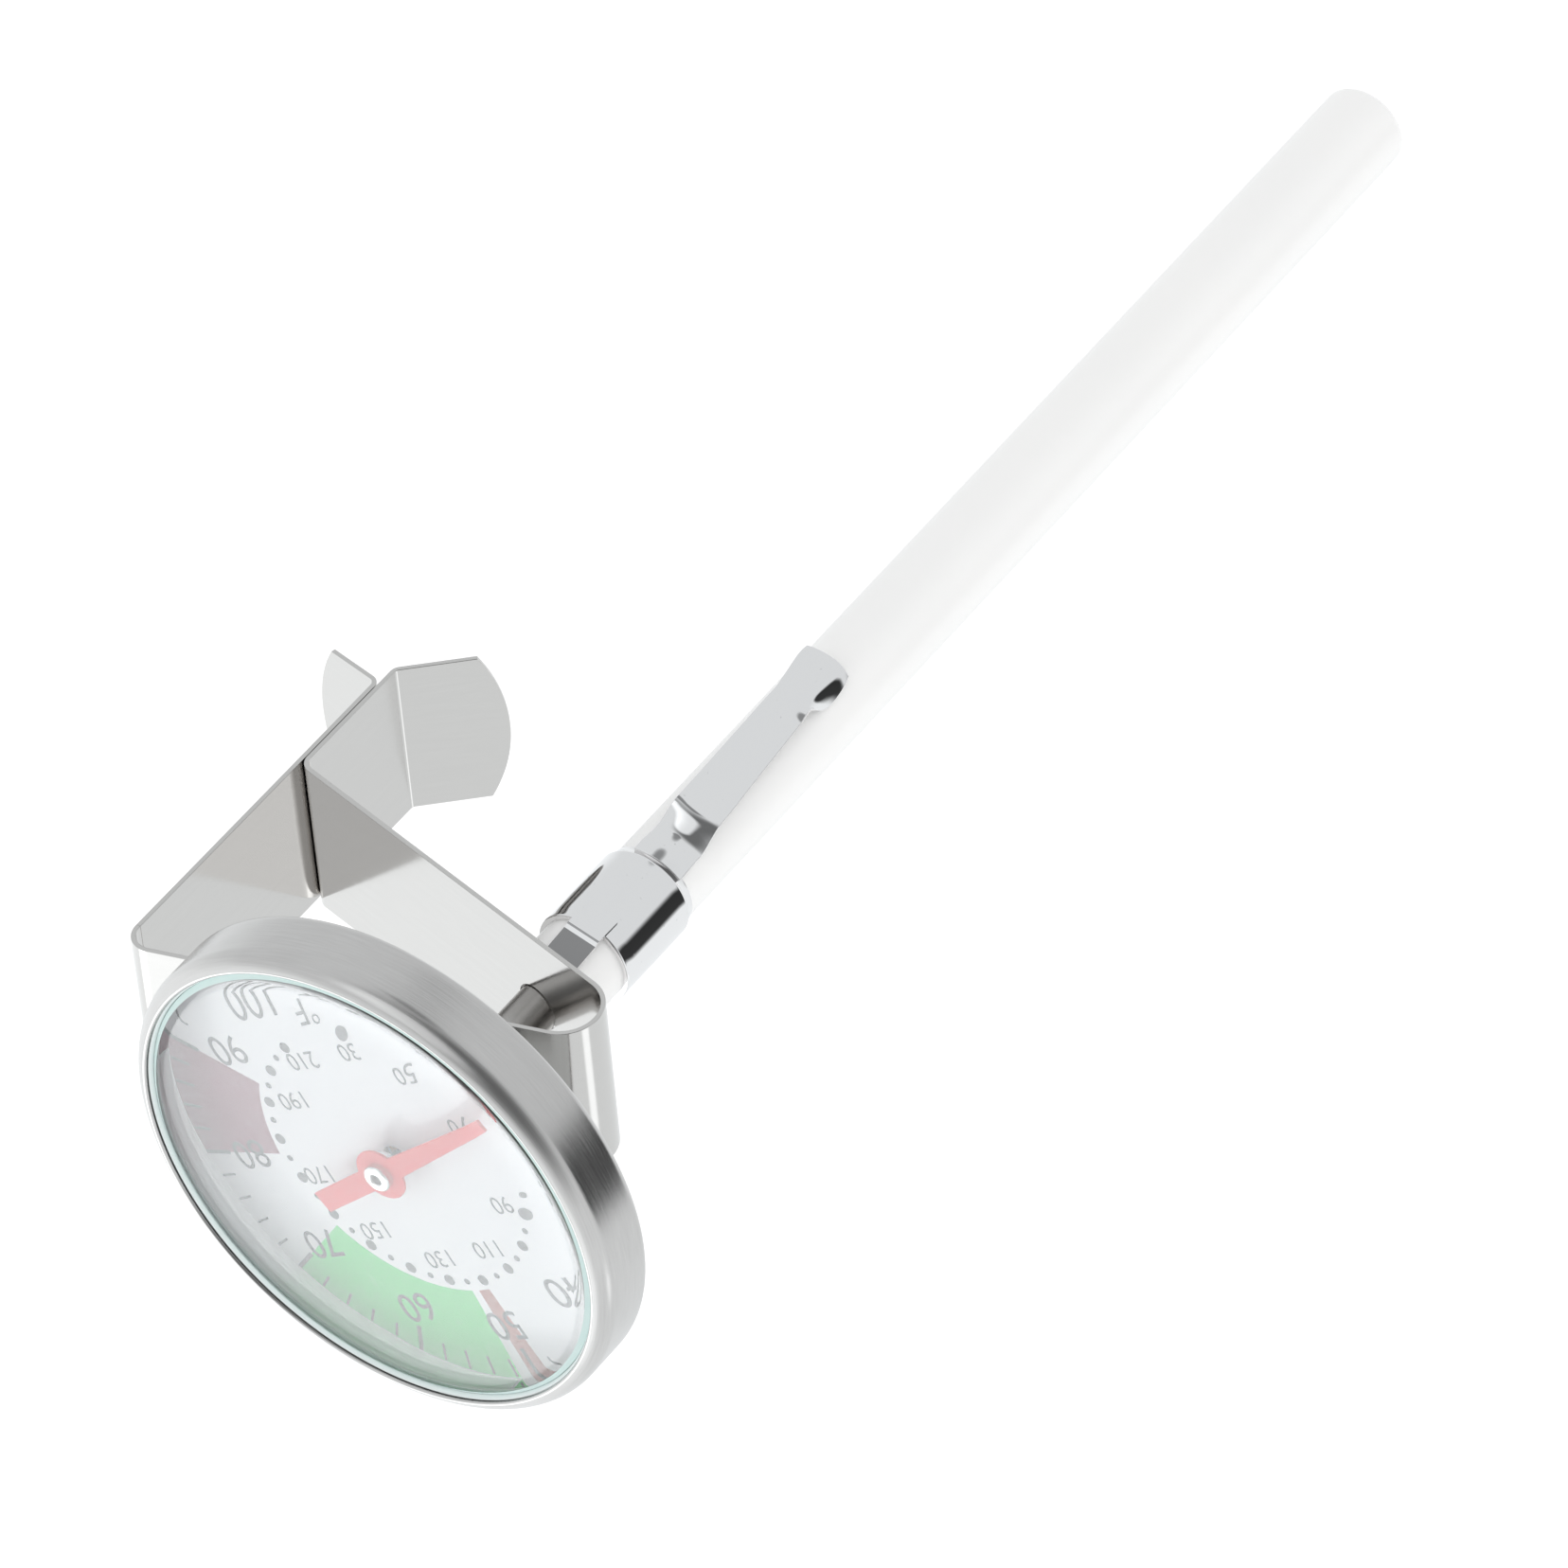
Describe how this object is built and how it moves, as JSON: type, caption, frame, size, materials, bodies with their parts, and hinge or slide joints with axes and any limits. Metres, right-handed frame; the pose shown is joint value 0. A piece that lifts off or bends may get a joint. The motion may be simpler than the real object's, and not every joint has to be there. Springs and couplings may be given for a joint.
{
  "type": "dial thermometer",
  "caption": "Bimetal dial thermometer with a slim stem, a sliding spring clip for a jug's wall, and a plastic sheath with a metal pocket clip.",
  "frame": {"origin": "the stem's root, on its axis, level with the underside of the calibration nut", "axes": "+Z along the stem towards the dial's face, +X towards the jaws of the jug clip, +Y across the jug clip's strip"},
  "size_m": [0.0572, 0.045, 0.146],
  "materials": {
    "stainless_satin": "satin, brushed around the case",
    "stainless_polished": "drawn and lightly polished",
    "stainless_strip": "bright rolled strip with fine lengthwise lines",
    "spring_steel": "dark spring steel",
    "chrome": "bright plating",
    "brass": "turned",
    "bimetal": "rolled bimetal strip, dull",
    "dial_white": "white enamel, printed",
    "spacer_white": "moulded, satin",
    "crystal_glass": "clear, polished",
    "gasket_clear": "translucent grey",
    "pointer_red": "gloss red paint",
    "sheath_white": "moulded, semi-gloss"
  },
  "bodies": {
    "stem": {"stem_tube": "stainless_polished", "stem_tip_plug": "stainless_polished", "calibration_nut": "stainless_polished", "friction_washer": "stainless_polished", "retaining_ring": "spring_steel", "upper_bush": "brass", "lower_bush": "brass", "helix_anchor": "brass", "bimetal_helix": "bimetal"},
    "head": {"bezel_shell": "stainless_satin", "case_back": "stainless_satin", "stem_socket": "brass", "dial_plate": "dial_white", "spacer_ring": "spacer_white", "crystal": "crystal_glass", "crystal_gasket": "gasket_clear"},
    "pointer": {"pointer": "pointer_red", "pointer_hub": "stainless_polished", "pointer_shaft": "stainless_polished", "helix_collar": "brass"},
    "jug_clip": {"jug_clip_frame": "stainless_strip"},
    "jug_clip_leg": {"jug_clip_leg": "stainless_strip"},
    "sheath": {"sheath_tube": "sheath_white", "pocket_clip_band": "chrome", "band_lock_tab": "chrome"},
    "pocket_blade": {"pocket_clip_blade": "chrome"}
  },
  "joints": [
    {"name": "calibration_turn", "type": "hinge", "parent": "stem", "child": "head", "pos_m": [0, 0, 0.0045], "axis": [0, 0, 1], "range_deg": [-30, 30]},
    {"name": "pointer_turn", "type": "hinge", "parent": "stem", "child": "pointer", "pos_m": [0, 0, 0.0088], "axis": [0, 0, -1], "range_deg": [-60.12, 264.88], "stiffness_Nm_per_rad": 0.00001, "deforming": ["bimetal_helix"]},
    {"name": "jug_clip_slide", "type": "slide", "parent": "stem", "child": "jug_clip", "axis": [0, 0, -1], "range_m": [-0.0005, 0.1]},
    {"name": "jaw_open", "type": "hinge", "parent": "jug_clip", "child": "jug_clip_leg", "pos_m": [0.0277, 0, 0.00254], "axis": [0, -1, 0], "range_deg": [0, 8], "stiffness_Nm_per_rad": 0.1},
    {"name": "sheath_slide", "type": "slide", "parent": "jug_clip", "child": "sheath", "axis": [0, 0, -1], "range_m": [0, 0.13]},
    {"name": "pocket_blade_flex", "type": "hinge", "parent": "sheath", "child": "pocket_blade", "pos_m": [-0.00145, -0.00421, -0.02746], "axis": [-0.9455, 0.3256, 0], "range_deg": [0, 5], "stiffness_Nm_per_rad": 0.05}
  ]
}
